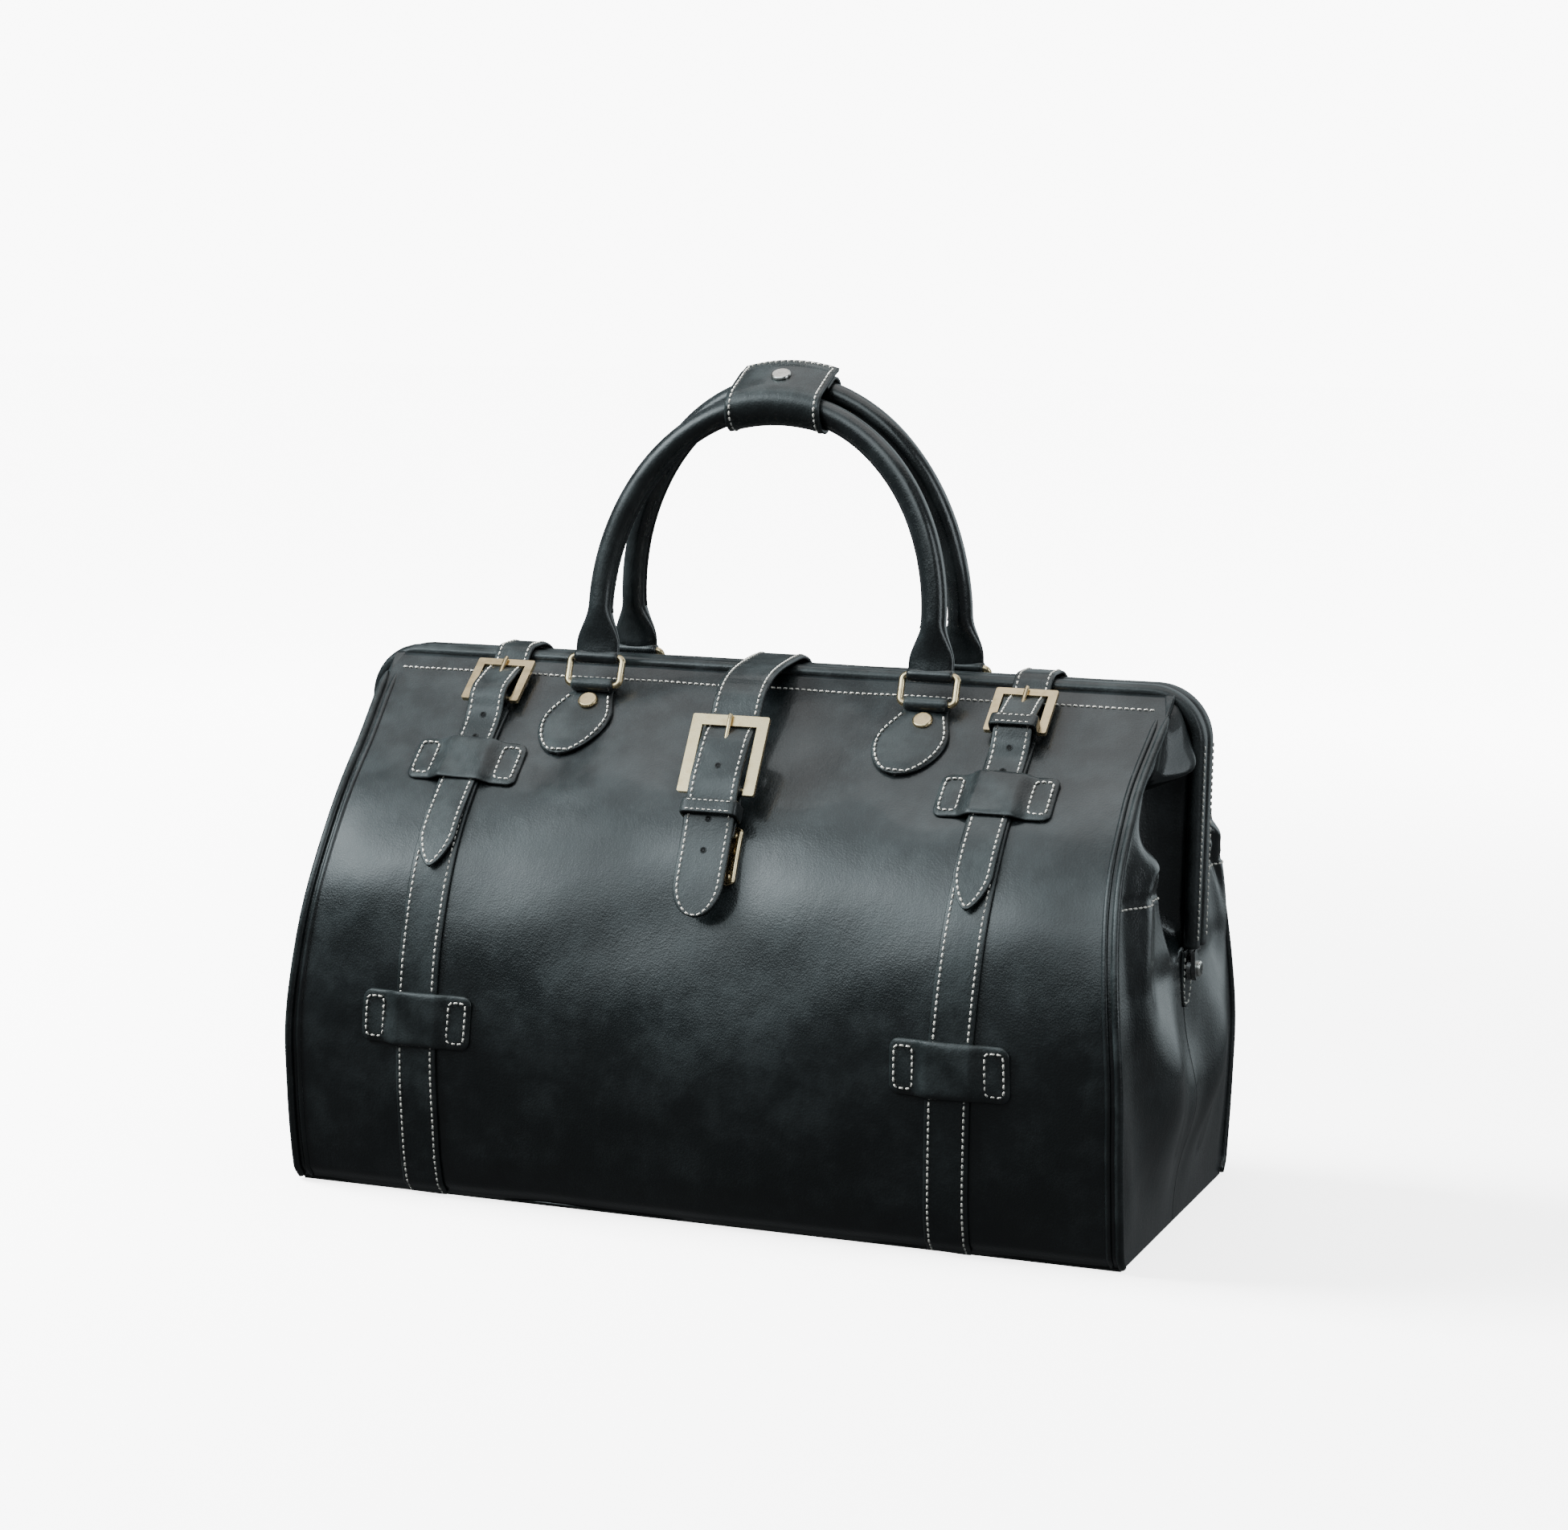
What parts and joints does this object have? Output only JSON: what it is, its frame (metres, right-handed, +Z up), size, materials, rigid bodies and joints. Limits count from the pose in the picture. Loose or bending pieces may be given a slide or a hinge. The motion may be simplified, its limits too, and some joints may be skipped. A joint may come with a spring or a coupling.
{
  "type": "doctor bag",
  "caption": "Gladstone-style doctor bag: a leather tub whose mouth is held by hinged jaws, with arched handles on rings, a snap wrap, buckled straps and a lock",
  "frame": {"origin": "middle of the underside of the base", "axes": "+X along the bag's length, -Y out of the front with the buckles, +Z up"},
  "size_m": [0.5214, 0.2918, 0.4843],
  "materials": {
    "body_leather": "glossy black, fine grain",
    "strap_leather": "glossy black, smooth",
    "handle_leather": "glossy black, smooth",
    "piping_leather": "glossy black",
    "lining_cloth": "matt cotton twill",
    "board": "matt",
    "brass": "satin",
    "nickel": "polished",
    "spring_steel": "brushed"
  },
  "bodies": {
    "bag_body": {"front_panel": "body_leather", "back_panel": "body_leather", "base_panel": "body_leather", "base_board": "board", "end_panel_left": "body_leather", "end_panel_right": "body_leather", "tub_lining": "lining_cloth", "front_piping": "piping_leather", "back_piping": "piping_leather", "front_strap_left": "strap_leather", "front_strap_right": "strap_leather", "back_strap_left": "strap_leather", "back_strap_right": "strap_leather", "front_low_keepers": "strap_leather", "back_low_keepers": "strap_leather", "hinge_tabs": "strap_leather", "hinge_pins": "nickel"},
    "front_jaw": {"front_jaw_cover": "strap_leather", "front_jaw_core": "spring_steel", "front_panel_top": "body_leather", "front_gussets": "body_leather", "front_lining_top": "lining_cloth", "front_handle_tabs": "strap_leather", "front_tab_rivets": "brass", "front_high_keepers": "strap_leather", "buckle_chapes": "strap_leather", "lock_case": "brass"},
    "back_jaw": {"back_jaw_cover": "strap_leather", "back_jaw_core": "spring_steel", "back_panel_top": "body_leather", "back_gussets": "body_leather", "back_lining_top": "lining_cloth", "back_handle_tabs": "strap_leather", "back_tab_rivets": "brass", "back_high_keepers": "strap_leather", "over_strap_left": "strap_leather", "over_strap_right": "strap_leather", "centre_over_strap": "strap_leather"},
    "strap_left": {"strap_tip_left": "strap_leather"},
    "strap_right": {"strap_tip_right": "strap_leather"},
    "centre_strap": {"centre_tip": "strap_leather", "centre_tab": "strap_leather", "centre_loop": "strap_leather", "lock_tongue": "brass"},
    "centre_buckle": {"centre_buckle": "brass"},
    "centre_prong": {"centre_prong": "brass"},
    "buckle_left": {"buckle_left": "brass"},
    "prong_left": {"prong_left": "brass"},
    "buckle_right": {"buckle_right": "brass"},
    "prong_right": {"prong_right": "brass"},
    "front_ring_left": {"front_ring_left": "brass"},
    "front_ring_right": {"front_ring_right": "brass"},
    "back_ring_left": {"back_ring_left": "brass"},
    "back_ring_right": {"back_ring_right": "brass"},
    "front_handle": {"front_handle": "handle_leather"},
    "back_handle": {"back_handle": "handle_leather", "wrap_sleeve": "strap_leather", "snap_stud": "nickel"},
    "wrap_flap": {"wrap_flap": "strap_leather", "snap_cap": "nickel"}
  },
  "joints": [
    {"name": "jaw_front", "type": "hinge", "parent": "bag_body", "child": "front_jaw", "pos_m": [0, 0, 0.149], "axis": [1, 0, 0], "range_deg": [0, 42], "deforming": ["front_piping", "front_strap_left", "front_strap_right"]},
    {"name": "jaw_back", "type": "hinge", "parent": "bag_body", "child": "back_jaw", "pos_m": [0, 0, 0.149], "axis": [1, 0, 0], "range_deg": [-42, 0], "deforming": ["back_piping", "back_strap_left", "back_strap_right"]},
    {"name": "strap_left_lift", "type": "hinge", "parent": "back_jaw", "child": "strap_left", "pos_m": [-0.164, -0.01, 0.3132], "axis": [1, 0, 0], "range_deg": [-168, 0], "deforming": ["strap_tip_left"]},
    {"name": "strap_right_lift", "type": "hinge", "parent": "back_jaw", "child": "strap_right", "pos_m": [0.16, -0.01, 0.3132], "axis": [1, 0, 0], "range_deg": [-168, 0], "deforming": ["strap_tip_right"]},
    {"name": "centre_strap_lift", "type": "hinge", "parent": "back_jaw", "child": "centre_strap", "pos_m": [0, -0.01, 0.3132], "axis": [1, 0, 0], "range_deg": [-168, 0], "deforming": ["centre_tip", "centre_loop", "centre_tab"]},
    {"name": "centre_buckle_tilt", "type": "hinge", "parent": "centre_strap", "child": "centre_buckle", "pos_m": [0, -0.09898, 0.24683], "axis": [1, 0, 0], "range_deg": [0, 50]},
    {"name": "centre_prong_tilt", "type": "hinge", "parent": "centre_strap", "child": "centre_prong", "pos_m": [0, -0.09898, 0.24683], "axis": [1, 0, 0], "range_deg": [0, 100]},
    {"name": "buckle_left_tilt", "type": "hinge", "parent": "front_jaw", "child": "buckle_left", "pos_m": [-0.164, -0.04869, 0.28515], "axis": [1, 0, 0], "range_deg": [0, 50]},
    {"name": "prong_left_tilt", "type": "hinge", "parent": "front_jaw", "child": "prong_left", "pos_m": [-0.164, -0.04869, 0.28515], "axis": [1, 0, 0], "range_deg": [0, 100]},
    {"name": "buckle_right_tilt", "type": "hinge", "parent": "front_jaw", "child": "buckle_right", "pos_m": [0.16, -0.04869, 0.28515], "axis": [1, 0, 0], "range_deg": [0, 50]},
    {"name": "prong_right_tilt", "type": "hinge", "parent": "front_jaw", "child": "prong_right", "pos_m": [0.16, -0.04869, 0.28515], "axis": [1, 0, 0], "range_deg": [0, 100]},
    {"name": "front_ring_left_swing", "type": "hinge", "parent": "front_jaw", "child": "front_ring_left", "pos_m": [-0.1035, -0.03607, 0.29514], "axis": [1, 0, 0], "range_deg": [0, 80]},
    {"name": "front_ring_right_swing", "type": "hinge", "parent": "front_jaw", "child": "front_ring_right", "pos_m": [0.1035, -0.03607, 0.29514], "axis": [1, 0, 0], "range_deg": [0, 80]},
    {"name": "front_handle_fold", "type": "hinge", "parent": "front_ring_left", "child": "front_handle", "pos_m": [-0.1035, -0.03026, 0.31111], "axis": [1, 0, 0], "range_deg": [0, 48]},
    {"name": "back_ring_left_swing", "type": "hinge", "parent": "back_jaw", "child": "back_ring_left", "pos_m": [-0.1035, 0.03607, 0.29514], "axis": [1, 0, 0], "range_deg": [-80, 0]},
    {"name": "back_ring_right_swing", "type": "hinge", "parent": "back_jaw", "child": "back_ring_right", "pos_m": [0.1035, 0.03607, 0.29514], "axis": [1, 0, 0], "range_deg": [-80, 0]},
    {"name": "back_handle_fold", "type": "hinge", "parent": "back_ring_left", "child": "back_handle", "pos_m": [-0.1035, 0.03026, 0.31111], "axis": [1, 0, 0], "range_deg": [-48, 0]},
    {"name": "wrap_open", "type": "hinge", "parent": "back_handle", "child": "wrap_flap", "pos_m": [0, 0.00429, 0.45867], "axis": [1, 0, 0], "range_deg": [0, 120], "deforming": ["wrap_sleeve", "wrap_flap"]}
  ],
  "couplings": [
    {"joint": "jaw_back", "follows": "jaw_front", "ratio": -1},
    {"joint": "strap_left_lift", "follows": "jaw_front", "ratio": -4},
    {"joint": "strap_right_lift", "follows": "jaw_front", "ratio": -4},
    {"joint": "centre_strap_lift", "follows": "jaw_front", "ratio": -4},
    {"joint": "centre_prong_tilt", "follows": "centre_buckle_tilt", "ratio": 2},
    {"joint": "prong_left_tilt", "follows": "buckle_left_tilt", "ratio": 2},
    {"joint": "prong_right_tilt", "follows": "buckle_right_tilt", "ratio": 2},
    {"joint": "front_ring_right_swing", "follows": "front_ring_left_swing", "ratio": 1},
    {"joint": "front_handle_fold", "follows": "front_ring_left_swing", "ratio": 0.6},
    {"joint": "back_ring_right_swing", "follows": "back_ring_left_swing", "ratio": 1},
    {"joint": "back_handle_fold", "follows": "back_ring_left_swing", "ratio": 0.6}
  ]
}
